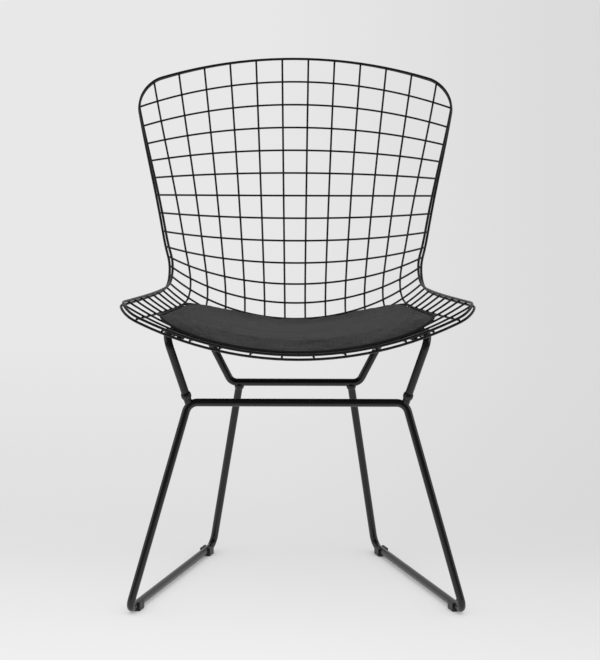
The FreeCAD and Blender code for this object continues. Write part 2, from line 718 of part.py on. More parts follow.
def pad_piping():
    """Welt on the band, round the crowned top."""
    front, rear = PAD_FRONT_AT + PAD_FRONT_CORNER_ALONG, PAD_REAR_AT - PAD_REAR_CORNER_ALONG
    height = PAD_BASE + PAD_BAND + PIPING_R + PAD_GAP
    inset = PIPING_R

    def line(t):
        if t < 0 or t > len(OUTLINE):
            inside = line(-t if t < 0 else 2 * len(OUTLINE) - t)
            return Vector(-inside.x, inside.y, inside.z)
        if t <= 2:
            angle = math.pi / 2 * max(0.0, t - 1)
            s = front - (PAD_FRONT_CORNER_ALONG - inset) * math.cos(angle)
            flat = PAD_HALF_WIDTH - PAD_FRONT_CORNER_ACROSS
            corner = (PAD_FRONT_CORNER_ACROSS - inset) * math.sin(angle)
            return pad_point(s, flat * min(1.0, t) + corner, height)
        if t <= 3:
            s = front + (rear - front) * (t - 2)
            return pad_point(s, pad_half_width(s, inset), height)
        angle = math.pi / 2 * max(0.0, 4 - t)
        s = rear + (PAD_REAR_CORNER_ALONG - inset) * math.cos(angle)
        flat = PAD_HALF_WIDTH - PAD_TAPER - PAD_REAR_CORNER_ACROSS
        corner = (PAD_REAR_CORNER_ACROSS - inset) * math.sin(angle)
        return pad_point(s, flat * min(1.0, len(OUTLINE) - t) + corner, height)

    edges = []
    for part in range(len(OUTLINE)):
        edges += arcs_along(line, part, part + 1, OUTLINE_STEP_RATIO)
    return joined_halves(tube(edges, PIPING_R))


def loop_place(row, number):
    """Placement of a pad loop: x along the seat, y off the shell, z across."""
    s = ROW_PITCH * row
    u = long_wire_u(s, number)
    normal = shell_normal(s, u)
    along = shell_point(s + STEP, u) - shell_point(s - STEP, u)
    along = (along - normal * along.dot(normal)).normalize()
    return frame_at(above_shell(s, u, LAYER), along, along.cross(normal))


def u_outline(radius, top):
    """Outline of a U with its round end at the origin and open ends at a height."""
    return Part.Wire([Part.LineSegment(Vector(-radius, top, 0), Vector(-radius, 0, 0)).toShape(),
                      Part.Arc(Vector(-radius, 0, 0), Vector(0, -radius, 0), Vector(radius, 0, 0)).toShape(),
                      Part.LineSegment(Vector(radius, 0, 0), Vector(radius, top, 0)).toShape(),
                      Part.LineSegment(Vector(radius, top, 0), Vector(-radius, top, 0)).toShape()])


def pad_loop(row, number):
    """Loop from the pad's underside round a cross wire."""
    inner = WIRE_R + LOOP_FIT
    top = WIRE_R + PAD_GAP / 2
    loop = extruded([u_outline(inner + LOOP_SHEET, top)], LOOP_WIDTH)
    loop = loop.cut(extruded([u_outline(inner, 2 * top)], LOOP_WIDTH * 2))
    loop.Placement = loop_place(row, number)
    return loop


def loop_stud(row, number):
    """Press stud under a loop."""
    radius = WIRE_R + LOOP_FIT + LOOP_SHEET
    stud = Part.makeCylinder(STUD_D / 2, radius + STUD_H, Vector(0, 0, 0), Vector(0, -1, 0))
    stud = stud.cut(Part.makeCylinder(radius, LOOP_WIDTH * 2, Vector(0, 0, -LOOP_WIDTH)))
    stud = max(stud.Solids, key=lambda piece: piece.Volume)
    stud.Placement = loop_place(row, number)
    return stud


def build():
    """All nodes by name."""
    nodes = {}
    for number in range(LONG_WIRES):
        nodes["long_wire_%02d" % (number + 1)] = long_wire(number)
    for number in range(1, CROSS_WIRES + 1):
        nodes["cross_wire_%02d" % number] = cross_wire(number)
    nodes["rim_upper"] = rim(True)
    nodes["rim_lower"] = rim(False)
    nodes["frame_lower_rod"] = joined_halves(lower_rod_half())
    nodes["frame_upper_rod"] = joined_halves(upper_rod_half())
    nodes["weld_beads"] = both_sides(weld_beads())
    nodes["glides"] = both_sides(Part.makeCompound([glide(True), glide(False)]))
    for name, make in (("seat_clips", seat_clip), ("clip_bolts", clip_bolt), ("clip_nuts", clip_nut)):
        nodes[name] = both_sides(Part.makeCompound([make(row) for row in CLIP_ROW_NUMBERS]))
    nodes["seat_pad"] = seat_pad()
    nodes["pad_piping"] = pad_piping()
    loop_places = [(row, number) for row in LOOP_ROW_NUMBERS for number in LOOP_WIRE_NUMBERS]
    for name, make in (("pad_loops", pad_loop), ("loop_studs", loop_stud)):
        nodes[name] = Part.makeCompound([make(*place) for place in loop_places])
    return nodes


def main():
    """Writes one file for each node."""
    os.makedirs("parts", exist_ok=True)
    for name, shape in build().items():
        shape.exportStep("parts/%s.step" % name)


main()
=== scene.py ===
"""Wire mesh side chair: finishes, sewn seat cushion, weld nuggets and studio round the fixed frame.

Metres. +Z is up and the sitter faces -Y. The shell's surface is described by s, the length along its
middle line from the front edge, and u, the length across it along a cross wire.
"""
from __future__ import annotations

import json
import logging
import math
from collections.abc import Callable, Iterable, Mapping
from dataclasses import dataclass
from enum import Enum
from functools import lru_cache

import bpy
from mathutils import Matrix, Vector
from mathutils.bvhtree import BVHTree
from mathutils.kdtree import KDTree

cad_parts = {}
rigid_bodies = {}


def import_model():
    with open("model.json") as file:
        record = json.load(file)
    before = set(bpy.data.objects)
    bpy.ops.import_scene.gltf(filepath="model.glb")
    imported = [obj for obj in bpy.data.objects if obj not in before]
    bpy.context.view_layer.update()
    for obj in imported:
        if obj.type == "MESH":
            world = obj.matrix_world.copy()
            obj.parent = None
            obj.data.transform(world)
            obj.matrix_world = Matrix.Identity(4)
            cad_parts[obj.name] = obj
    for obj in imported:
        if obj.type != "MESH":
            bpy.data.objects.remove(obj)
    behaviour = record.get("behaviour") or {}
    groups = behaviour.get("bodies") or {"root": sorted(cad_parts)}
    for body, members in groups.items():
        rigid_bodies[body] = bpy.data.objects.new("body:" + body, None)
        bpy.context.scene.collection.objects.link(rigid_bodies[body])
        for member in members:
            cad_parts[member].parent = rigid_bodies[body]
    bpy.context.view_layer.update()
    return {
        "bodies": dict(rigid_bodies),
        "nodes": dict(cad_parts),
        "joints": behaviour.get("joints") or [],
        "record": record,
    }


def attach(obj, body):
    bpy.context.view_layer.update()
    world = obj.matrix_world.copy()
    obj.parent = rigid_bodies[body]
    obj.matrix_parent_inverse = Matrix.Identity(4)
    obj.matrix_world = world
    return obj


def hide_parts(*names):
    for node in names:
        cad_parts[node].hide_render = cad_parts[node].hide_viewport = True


LOG = logging.getLogger("chair")
ROOT = "root"
PHOTO_WIDTH = 600
PHOTO_HEIGHT = 660
BALL_CREASE = 80.0
WAVE_SCALE = 2 / math.tau

Piece = bpy.types.Object
Pair = tuple[float, float]
Triple = tuple[float, float, float]
Colour = Triple


class Signal:
    """A value on its way through a material's nodes, with Python's signs as Math nodes."""

    def __init__(self, graph: Graph, socket: bpy.types.NodeSocket) -> None:
        """Wraps an output socket of a graph."""
        self.graph = graph
        self.socket = socket

    def _math(self, operation: str, first: object, second: object) -> Signal:
        """Adds one Math node on two values or links."""
        return self.graph.node("ShaderNodeMath", {"operation": operation}, {0: first, 1: second})

    def __add__(self, other: object) -> Signal:
        """Sum."""
        return self._math("ADD", self, other)

    def __sub__(self, other: object) -> Signal:
        """Difference."""
        return self._math("SUBTRACT", self, other)

    def __rsub__(self, other: object) -> Signal:
        """Difference from a number."""
        return self._math("SUBTRACT", other, self)

    def __mul__(self, other: object) -> Signal:
        """Product."""
        return self._math("MULTIPLY", self, other)

    __radd__ = __add__
    __rmul__ = __mul__


class Graph:
    """The node graph of one material or of the world."""

    def __init__(self, tree: bpy.types.NodeTree) -> None:
        """Starts from an empty tree."""
        self.tree = tree
        self.tree.nodes.clear()

    def node(
        self,
        kind: str,
        settings: Mapping[str, object] | None = None,
        sockets: Mapping[str | int, object] | None = None,
        output: str | int = 0,
    ) -> Signal:
        """Adds a node.

        Args:
            kind: The node's type.
            settings: Its settings, set before the sockets; "stops" holds a ramp's places and greys.
            sockets: Values or links of its input sockets, by name or number.
            output: The output socket that is wanted.

        Returns:
            The wanted output.
        """
        node = self.tree.nodes.new(kind)
        for name, value in (settings or {}).items():
            if name == "stops":
                self._set_stops(node.color_ramp, value)
            else:
                setattr(node, name, value)
        for name, value in (sockets or {}).items():
            if isinstance(value, Signal):
                self.tree.links.new(value.socket, node.inputs[name])
            else:
                node.inputs[name].default_value = value
        return Signal(self, node.outputs[output] if len(node.outputs) else None)

    @staticmethod
    def _set_stops(ramp: bpy.types.ColorRamp, stops: Iterable[Pair]) -> None:
        """Sets the stops of a ramp.

        Args:
            ramp: The ramp, which has two stops at first.
            stops: Pairs of place and grey.
        """
        for index, (place, grey) in enumerate(stops):
            stop = ramp.elements[index] if index < 2 else ramp.elements.new(place)
            stop.position = place
            stop.color = (grey, grey, grey, 1.0)

    def place(self, scale: Triple = (1.0, 1.0, 1.0), turn: float = 0.0) -> Signal:
        """Gives the point on the piece, scaled by axis and turned about the upright.

        Args:
            scale: Factor along each axis.
            turn: Angle about Z in radians.

        Returns:
            The vector.
        """
        sockets = {"Vector": self.node("ShaderNodeTexCoord", output="Object"), "Scale": scale}
        return self.node("ShaderNodeMapping", None, {**sockets, "Rotation": (0.0, 0.0, turn)})

    def noise(self, at: Signal, scale: float, detail: float = 2.0, roughness: float = 0.5) -> Signal:
        """Gives cloudy noise.

        Args:
            at: The place.
            scale: Cells per metre.
            detail: Octaves.
            roughness: Strength of the finer octaves.

        Returns:
            A value from 0 to 1.
        """
        sockets = {"Vector": at, "Scale": scale, "Detail": detail, "Roughness": roughness}
        return self.node("ShaderNodeTexNoise", None, sockets, "Fac")

    def bump(self, height: Signal, depth: float, below: Signal | None = None) -> Signal:
        """Turns a height into a normal.

        Args:
            height: The height from 0 to 1.
            depth: What a height of 1 is, in metres.
            below: A normal to start from.

        Returns:
            The normal.
        """
        sockets: dict[str, object] = {"Height": height, "Distance": depth, "Strength": 1.0}
        if below is not None:
            sockets["Normal"] = below
        return self.node("ShaderNodeBump", None, sockets, "Normal")

    def wave(self, axis: str, count: float, **shape: float) -> Signal:
        """Gives parallel ribs.

        Args:
            axis: The axis across which they lie.
            count: Ribs to the metre, nearly.
            shape: The wave's other sockets, with a line for a blank in the name.

        Returns:
            A value from 0 to 1.
        """
        sockets = {name.replace("_", " "): value for name, value in shape.items()}
        sockets |= {"Vector": self.place(), "Scale": count * WAVE_SCALE}
        settings = {"bands_direction": axis, "wave_profile": "SIN"}
        return self.node("ShaderNodeTexWave", settings, sockets, "Fac")

    @staticmethod
    def mix(weights: Iterable[float], *parts: Signal) -> Signal:
        """Adds up signals by their weights."""
        shares = [weight * part for weight, part in zip(weights, parts)]
        return sum(shares[1:], shares[0])

    def ramp(self, value: Signal, *stops: Pair) -> Signal:
        """Maps a value through stops, pairs of place and grey."""
        return self.node("ShaderNodeValToRGB", {"stops": stops}, {"Fac": value})

    def ease(
        self, value: Signal, span: Pair, low: float | Signal = 0.0, high: float | Signal = 1.0
    ) -> Signal:
        """Goes smoothly from low to high over a span of a value."""
        sockets = {"Value": value, "From Min": span[0], "From Max": span[1], "To Min": low, "To Max": high}
        return self.node("ShaderNodeMapRange", {"interpolation_type": "SMOOTHSTEP"}, sockets, "Result")

    def axis(self, vector: Signal, name: str) -> Signal:
        """Gives one component of a vector, by its axis."""
        return self.node("ShaderNodeSeparateXYZ", None, {"Vector": vector}, name)

    def ray(self, kind: str) -> Signal:
        """Is 1 for rays of a kind, by the name of Light Path's output."""
        return self.node("ShaderNodeLightPath", output=kind)

    def shades(self, amount: Signal, colour: Colour, factors: Pair) -> Signal:
        """Blends two shades of a colour by an amount."""
        return self.tint(amount, shade(colour, factors[0]), shade(colour, factors[1]))

    def tint(self, amount: Signal, low: Colour, high: Colour) -> Signal:
        """Blends two colours by an amount.

        Args:
            amount: 0 for the first colour, 1 for the second.
            low: The first colour.
            high: The second colour.

        Returns:
            The colour.
        """
        mix = self.tree.nodes.new("ShaderNodeMix")
        mix.data_type = "RGBA"
        self.tree.links.new(amount.socket, mix.inputs["Factor"])
        ends = [socket for socket in mix.inputs if socket.type == "RGBA"]
        for socket, colour in zip(ends, (low, high)):
            socket.default_value = (*colour, 1.0)
        return Signal(self, next(socket for socket in mix.outputs if socket.type == "RGBA"))

    def finish(self, sockets: Mapping[str, object]) -> None:
        """Ends the graph in a Principled surface with these sockets."""
        surface = self.node("ShaderNodeBsdfPrincipled", None, sockets, "BSDF")
        self.node("ShaderNodeOutputMaterial", None, {"Surface": surface})


def shade(colour: Colour, factor: float) -> Colour:
    """Gives a colour made lighter or darker by a factor."""
    return (colour[0] * factor, colour[1] * factor, colour[2] * factor)


def new_graph(name: str) -> tuple[bpy.types.Material, Graph]:
    """Makes an empty material and its graph.

    Args:
        name: The material's name.

    Returns:
        The material and its graph.
    """
    material = bpy.data.materials.new(name)
    material.use_nodes = True
    return material, Graph(material.node_tree)


@dataclass(frozen=True)
class PowderCoat:
    """Satin black powder coat with orange peel, a little uneven in gloss."""

    name: str
    colour: Colour = (0.006, 0.006, 0.0062)
    shades: Pair = (0.8, 1.25)
    gloss_low: float = 0.22
    gloss_high: float = 0.32
    peel_scale: float = 700.0
    peel_depth: float = 0.000012
    flow_scale: float = 45.0
    speck_scale: float = 2.5
    speck_gloss: float = 0.06
    ior: float = 1.5

    def material(self) -> bpy.types.Material:
        """Makes the material.

        Returns:
            The material.
        """
        material, graph = new_graph(self.name)
        at = graph.place()
        peel = graph.noise(at, self.peel_scale, detail=3.0, roughness=0.55)
        flow = graph.noise(at, self.flow_scale, detail=3.0, roughness=0.6)
        speck = graph.noise(at, self.peel_scale * self.speck_scale, detail=1.0)
        uneven = (self.gloss_high - self.gloss_low) * flow
        graph.finish({
            "Base Color": graph.shades(flow, self.colour, self.shades),
            "Roughness": self.gloss_low + uneven + self.speck_gloss * (speck - 0.5),
            "Normal": graph.bump(peel, self.peel_depth),
            "IOR": self.ior,
        })
        return material


@dataclass(frozen=True)
class MouldedPlastic:
    """Black moulded plastic with a fine spark-eroded grain."""

    name: str
    colour: Colour = (0.014, 0.014, 0.0145)
    shades: Pair = (0.85, 1.5)
    roughness: float = 0.5
    grain_scale: float = 1600.0
    grain_depth: float = 0.00005
    scuff_scale: float = 120.0
    scuff_stretch: Triple = (1.0, 6.0, 1.0)
    scuff_gloss: float = 0.14

    def material(self) -> bpy.types.Material:
        """Makes the material.

        Returns:
            The material.
        """
        material, graph = new_graph(self.name)
        grain = graph.noise(graph.place(), self.grain_scale, detail=2.0, roughness=0.7)
        scuff = graph.noise(graph.place(self.scuff_stretch), self.scuff_scale, detail=4.0, roughness=0.6)
        graph.finish({
            "Base Color": graph.shades(scuff, self.colour, self.shades),
            "Roughness": self.roughness + self.scuff_gloss * (scuff - 0.5),
            "Normal": graph.bump(grain, self.grain_depth),
        })
        return material


@dataclass(frozen=True)
class BlackOxide:
    """Blackened steel of small fasteners, rubbed a little brighter in places."""

    name: str
    colour: Colour = (0.05, 0.05, 0.053)
    rubbed: Colour = (0.16, 0.16, 0.165)
    rub_scale: float = 420.0
    rub_stops: tuple[Pair, ...] = ((0.56, 0.0), (0.78, 1.0))
    turning_scale: float = 2200.0
    turning_depth: float = 0.00002
    roughness: float = 0.34
    turning_gloss: float = 0.12

    def material(self) -> bpy.types.Material:
        """Makes the material.

        Returns:
            The material.
        """
        material, graph = new_graph(self.name)
        at = graph.place()
        rub = graph.ramp(graph.noise(at, self.rub_scale, detail=3.0), *self.rub_stops)
        turning = graph.noise(at, self.turning_scale, detail=2.0)
        graph.finish({
            "Base Color": graph.tint(rub, self.colour, self.rubbed),
            "Metallic": 1.0,
            "Roughness": self.roughness + self.turning_gloss * turning,
            "Normal": graph.bump(turning, self.turning_depth),
        })
        return material


@dataclass(frozen=True)
class CoatedFabric:
    """Charcoal coated upholstery fabric: fine slub lines across the seat under a soft leather grain."""

    name: str
    colour: Colour = (0.0325, 0.0325, 0.0333)
    slub_tint: float = 0.5
    slub_scale: float = 330.0
    slub_stretch: float = 0.09
    warp_stretch: float = 1.6
    slub_depth: float = 0.00016
    thread_count: float = 900.0
    grain_scale: float = 700.0
    grain_depth: float = 0.00018
    grain_chance: float = 0.9
    grain_stops: tuple[Pair, ...] = ((0.0, 0.0), (0.35, 1.0))
    broad_scale: float = 26.0
    broad_stretch: Triple = (0.5, 1.0, 1.0)
    weave_mix: Triple = (0.55, 0.25, 0.20)
    relief_mix: Triple = (0.6, 0.25, 0.15)
    weave_stops: tuple[Pair, ...] = ((0.36, 0.0), (0.64, 1.0))
    roughness: float = 0.62
    slub_gloss: float = 0.12
    grain_gloss: float = 0.05
    sheen: float = 0.02
    sheen_roughness: float = 0.5
    ior: float = 1.45
    specular: float = 0.06

    def material(self) -> bpy.types.Material:
        """Makes the material.

        Returns:
            The material.
        """
        material, graph = new_graph(self.name)
        across = graph.place((self.slub_stretch, 1.0, 1.0))
        along = graph.place((1.0, self.slub_stretch * self.warp_stretch, 1.0))
        slub = graph.noise(across, self.slub_scale, detail=4.0, roughness=0.65)
        warp = graph.noise(along, self.slub_scale, detail=3.0, roughness=0.6)
        thread = graph.wave("Y", self.thread_count, Distortion=1.2, Detail=2.0, Detail_Scale=0.6)
        cells = {"Vector": graph.place(), "Scale": self.grain_scale, "Randomness": self.grain_chance}
        cell = graph.node("ShaderNodeTexVoronoi", {"feature": "DISTANCE_TO_EDGE"}, cells, "Distance")
        grain = graph.ramp(cell, *self.grain_stops)
        broad = graph.noise(graph.place(self.broad_stretch), self.broad_scale, detail=3.0, roughness=0.55)
        weave = graph.mix(self.weave_mix, slub, warp, broad)
        woven = graph.bump(graph.mix(self.relief_mix, slub, warp, thread), self.slub_depth)
        shading = (1.0 - self.slub_tint, 1.0 + self.slub_tint)
        graph.finish({
            "Base Color": graph.shades(graph.ramp(weave, *self.weave_stops), self.colour, shading),
            "Roughness": self.roughness + self.slub_gloss * (slub - 0.5) - self.grain_gloss * grain,
            "Normal": graph.bump(grain, self.grain_depth, woven),
            "Sheen Weight": self.sheen,
            "Sheen Roughness": self.sheen_roughness,
            "IOR": self.ior,
            "Specular IOR Level": self.specular,
        })
        return material


@dataclass(frozen=True)
class Webbing:
    """Black polyester webbing with ribs along the band."""

    name: str
    colour: Colour = (0.016, 0.016, 0.0165)
    shades: Pair = (0.6, 1.8)
    rib_count: float = 900.0
    rib_depth: float = 0.0002
    fibre_scale: float = 2400.0
    fibre_gloss: float = 0.1
    fibre_stretch: Triple = (1.0, 0.3, 1.0)
    tint_mix: Pair = (0.6, 0.4)
    relief_mix: Pair = (0.7, 0.3)
    roughness: float = 0.7
    sheen: float = 0.2

    def material(self) -> bpy.types.Material:
        """Makes the material.

        Returns:
            The material.
        """
        material, graph = new_graph(self.name)
        rib = graph.wave("X", self.rib_count, Distortion=0.4, Detail=1.0)
        fibre = graph.noise(graph.place(self.fibre_stretch), self.fibre_scale, detail=2.0)
        graph.finish({
            "Base Color": graph.shades(graph.mix(self.tint_mix, rib, fibre), self.colour, self.shades),
            "Roughness": self.roughness + self.fibre_gloss * fibre,
            "Normal": graph.bump(graph.mix(self.relief_mix, rib, fibre), self.rib_depth),
            "Sheen Weight": self.sheen,
        })
        return material


@dataclass(frozen=True)
class Thread:
    """Twisted sewing thread."""

    name: str
    colour: Colour = (0.03, 0.03, 0.031)
    shades: Pair = (0.7, 1.5)
    lay_angle: float = 40.0
    twist_scale: float = 3000.0
    twist_depth: float = 0.00008
    twist_gloss: float = 0.1
    roughness: float = 0.55

    def material(self) -> bpy.types.Material:
        """Makes the material.

        Returns:
            The material.
        """
        material, graph = new_graph(self.name)
        twist = graph.noise(graph.place(turn=math.radians(self.lay_angle)), self.twist_scale, detail=1.0)
        graph.finish({
            "Base Color": graph.shades(twist, self.colour, self.shades),
            "Roughness": self.roughness + self.twist_gloss * twist,
            "Normal": graph.bump(twist, self.twist_depth),
        })
        return material


class Finish(Enum):
    """The chair's finishes, each used by one or more pieces."""

    WIRE = PowderCoat("satin_black_wire", peel_scale=1100.0, peel_depth=0.000008)
    ROD = PowderCoat("satin_black_rod")
    STRAP = PowderCoat("satin_black_strap", gloss_low=0.28, gloss_high=0.42, peel_scale=900.0)
    GLIDE = MouldedPlastic("black_glide_plastic")
    FASTENER = BlackOxide("black_oxide")
    COVER = CoatedFabric("charcoal_cover_fabric")
    # The welt's charcoal cloth is darkened well below the cover's: partly its own colour, partly painted
    # shade along the pad's front edge.
    WELT = CoatedFabric("charcoal_welt_fabric_painted_shade", colour=(0.011, 0.011, 0.0113), slub_stretch=0.3,
                        slub_tint=0.2, grain_depth=0.0001)
    # Painted shade: a near-black cloth for the cushion's side band and underside, much darker than the
    # cover, standing in for the shade that falls there.
    BAND = CoatedFabric("charcoal_band_fabric_painted_shade", colour=(0.010, 0.010, 0.0103), slub_tint=0.2)
    WEBBING = Webbing("black_webbing_band")
    THREAD = Thread("charcoal_thread")

    @lru_cache(maxsize=None)
    def material(self) -> bpy.types.Material:
        """Makes the finish's material once."""
        return self.value.material()


def dress(piece: Piece, finish: Finish) -> None:
    """Gives a piece one finish all over.

    Args:
        piece: A new piece or one of the frame's nodes.
        finish: The finish.
    """
    materials = piece.data.materials
    if materials:
        for index in range(len(materials)):
            materials[index] = finish.material()
    else:
        materials.append(finish.material())


def select_only(*pieces: Piece) -> None:
    """Selects some objects alone.

    Args:
        pieces: The objects, of which the first becomes the active one.
    """
    bpy.ops.object.select_all(action="DESELECT")
    for piece in pieces:
        piece.select_set(True)
    bpy.context.view_layer.objects.active = pieces[0]


def apply_modifier(piece: Piece, kind: str, **settings: object) -> None:
    """Adds a modifier and applies it.

    Args:
        piece: The piece.
        kind: The modifier's type.
        settings: The modifier's settings.
    """
    select_only(piece)
    modifier = piece.modifiers.new(kind.title(), kind)
    for name, value in settings.items():
        setattr(modifier, name, value)
    bpy.ops.object.modifier_apply(modifier=modifier.name)


def in_edit_mode(piece: Piece, work: Callable[[], object]) -> None:
    """Does some work in edit mode.

    Args:
        piece: The piece, with all of its mesh selected.
        work: The work.
    """
    select_only(piece)
    bpy.ops.object.mode_set(mode="EDIT")
    bpy.ops.mesh.select_all(action="SELECT")
    work()
    bpy.ops.object.mode_set(mode="OBJECT")


def smooth_shaded(piece: Piece, angle: float = 35.0) -> None:
    """Shades a piece smooth where its faces meet at less than an angle in degrees."""
    select_only(piece)
    bpy.ops.object.shade_smooth_by_angle(angle=math.radians(angle))


def stretched_ball(
    segments: int, rings: int, radius: float, stretch: Triple
) -> Piece:
    """Makes a smooth ball, drawn out or squeezed along its axes.

    Args:
        segments: Faces round it.
        rings: Faces from pole to pole.
        radius: Its radius before the stretch.
        stretch: Factor along each axis.

    Returns:
        The ball.
    """
    bpy.ops.object.select_all(action="DESELECT")
    bpy.ops.mesh.primitive_uv_sphere_add(segments=segments, ring_count=rings, radius=radius)
    ball = bpy.context.object
    in_edit_mode(ball, lambda: bpy.ops.transform.resize(value=stretch))
    smooth_shaded(ball, BALL_CREASE)
    return ball


def copies_at(piece: Piece, places: Iterable[Matrix], name: str) -> Piece:
    """Copies a piece to many places and joins the copies into one piece.

    Args:
        piece: The model, at the origin. It is removed.
        places: Where the copies go.
        name: The name of the joined piece.

    Returns:
        The joined piece.
    """
    made = []
    for place in places:
        mesh = piece.data.copy()
        mesh.transform(place)
        copy = bpy.data.objects.new(name, mesh)
        bpy.context.scene.collection.objects.link(copy)
        made.append(copy)
    bpy.data.objects.remove(piece)
    select_only(*made)
    bpy.ops.object.join()
    made[0].name = name
    return made[0]


def axes_at(origin: Vector, x_axis: Vector, z_axis: Vector) -> Matrix:
    """Gives a placement from its origin and two square axes."""
    turn = Matrix((x_axis, z_axis.cross(x_axis), z_axis)).transposed()
    return Matrix.Translation(origin) @ turn.to_4x4()


@dataclass(frozen=True)
class ShellSurface:
    """Mid surface of the wire shell, the same as the frame's."""

    front_edge_y: float = -0.2847
    front_edge_z: float = 0.406
    seat_length: float = 0.3276
    seat_front_pitch: float = -8.4
    seat_rear_pitch: float = -2.9
    bend_radius: float = 0.1705
    back_length: float = 0.331
    back_low_pitch: float = 70.2
    back_top_pitch: float = 85.4
    bend_ease: float = 0.06
    hollow_radii: Triple = (0.536, 0.271, 0.671)
    hollow_waist_at: float = 0.468
    hollow_softness: float = 0.09
    top_lean: float = 60.0
    top_lean_from: float = 0.509
    long_wires: int = 12
    cross_wires: int = 22
    gaps: Triple = (0.0447, 0.0332, 0.0436)
    gap_waist_at: float = 0.4313
    gap_softness: float = 0.136
    gap_crowd: float = 0.053
    wire_radius: float = 0.0016
    weld_bite: float = 0.0003
    line_panel: float = 0.012
    step: float = 0.00005
    locate_passes: int = 4

    @property
    def length(self) -> float:
        """Length of the middle line."""
        turn = math.radians(self.back_low_pitch - self.seat_rear_pitch)
        return self.seat_length + self.bend_radius * turn + self.back_length

    @property
    def layer(self) -> float:
        """Height of the wires' axes off the mid surface."""
        return self.wire_radius - self.weld_bite / 2

    def row(self, number: float) -> float:
        """Place along of a cross wire, counted from the front edge."""
        return self.length * number / (self.cross_wires + 1)

    def _valley(self, s: float, low_at: float, sizes: Triple, softness: float) -> float:
        """Gives a size that falls from the front edge to its lowest place and rises to the top edge.

        Args:
            s: Place along.
            low_at: The lowest place.
            sizes: The size at the front edge, the lowest place and the top edge.
            softness: How round the valley's foot is, as a share of the reach.

        Returns:
            The size.
        """
        far = low_at if s < low_at else self.length - low_at
        edge = sizes[0] if s < low_at else sizes[2]
        reach = abs(s - low_at) / far
        share = (math.hypot(reach, softness) - softness) / (math.hypot(1, softness) - softness)
        return sizes[1] + (edge - sizes[1]) * share

    def _eased_step(self, x: float) -> float:
        """Gives the area under a step at zero that is eased over the bend's run-in.

        Args:
            x: Place along from the step.

        Returns:
            The area.
        """
        ease = self.bend_ease / 2
        if abs(x) >= ease:
            return max(0.0, x)
        return (x + ease) ** 2 / (4 * ease)

    def pitch(self, s: float) -> float:
        """Gives the pitch of the middle line.

        Args:
            s: Place along.

        Returns:
            The angle in radians.
        """
        seat = math.radians(self.seat_rear_pitch - self.seat_front_pitch) / self.seat_length
        back = math.radians(self.back_top_pitch - self.back_low_pitch) / self.back_length
        bend = 1 / self.bend_radius
        run_in = (bend - seat) * self._eased_step(s - self.seat_length)
        run_out = (back - bend) * self._eased_step(s - self.length + self.back_length)
        return math.radians(self.seat_front_pitch) + seat * s + run_in + run_out

    @lru_cache(maxsize=None)
    def middle(self, s: float) -> Pair:
        """Adds up the middle line by Simpson's rule.

        Args:
            s: Place along.

        Returns:
            The place (y, z).
        """
        panels = max(1, math.ceil(abs(s) / self.line_panel))
        step = s / panels
        y, z = self.front_edge_y, self.front_edge_z
        for panel in range(panels):
            for share, part in ((1, 0.0), (4, 0.5), (1, 1.0)):
                pitch = self.pitch(step * (panel + part))
                y += step / 6 * share * math.cos(pitch)
                z += step / 6 * share * math.sin(pitch)
        return y, z

    def hollow(self, s: float) -> float:
        """Curvature across."""
        bends = tuple(1 / radius for radius in self.hollow_radii)
        return self._valley(s, self.hollow_waist_at, bends, self.hollow_softness)

    def point(self, s: float, u: float) -> Vector:
        """Gives a point of the mid surface.

        Args:
            s: Place along.
            u: Place across.

        Returns:
            The point.
        """
        y, z = self.middle(s)
        hollow = self.hollow(s)
        lean = max(0.0, (s - self.top_lean_from) / (self.length - self.top_lean_from))
        tilt = self.pitch(s) + math.pi / 2 + math.radians(self.top_lean) * lean * lean
        rise = (1 - math.cos(hollow * u)) / hollow
        return Vector((math.sin(hollow * u) / hollow, y + rise * math.cos(tilt),
                       z + rise * math.sin(tilt)))

    def along(self, s: float, u: float) -> Vector:
        """Unit direction along the surface, towards the top edge."""
        return (self.point(s + self.step, u) - self.point(s - self.step, u)).normalized()

    def normal(self, s: float, u: float) -> Vector:
        """Unit normal towards the sitter."""
        across = self.point(s, u + self.step) - self.point(s, u - self.step)
        return across.cross(self.along(s, u)).normalized()

    def over(self, s: float, u: float, height: float) -> Vector:
        """Gives a point in the upright plane of the section, as the pad's layers are measured.

        Args:
            s: Place along.
            u: Place across.
            height: Height off the mid surface.

        Returns:
            The point.
        """
        y, z = self.middle(s)
        hollow = self.hollow(s)
        radius = 1 / hollow
        tilt = self.pitch(s) + math.pi / 2
        rise = radius - (radius - height) * math.cos(hollow * u)
        return Vector(((radius - height) * math.sin(hollow * u), y + rise * math.cos(tilt),
                       z + rise * math.sin(tilt)))

    def locate(self, point: Vector) -> Pair:
        """Finds the place under a point close to the seat, to a millimetre along.

        Args:
            point: The point.

        Returns:
            The place (s, u).
        """
        s, u = round(point.y - self.front_edge_y, 3), point.x
        for _ in range(self.locate_passes):
            hollow = self.hollow(s)
            u = math.asin(max(-1.0, min(1.0, point.x * hollow))) / hollow
            s = round(s + (point.y - self.point(s, u).y) / math.cos(self.pitch(s)), 3)
            s = min(self.length, max(0.0, s))
        return s, u

    def long_wire_u(self, s: float, number: float) -> float:
        """Gives the place across of a long wire.

        Args:
            s: Place along.
            number: The wire, counted from 0 at -X.

        Returns:
            The place across.
        """
        middle = (self.long_wires - 1) / 2
        steps = number - middle
        gap = self._valley(s, self.gap_waist_at, self.gaps, self.gap_softness)
        ahead = min(1.0, max(0.0, 1 - s / self.gap_waist_at))
        return steps * gap * (1 + self.gap_crowd * ahead * (1 - (steps / middle) ** 2))


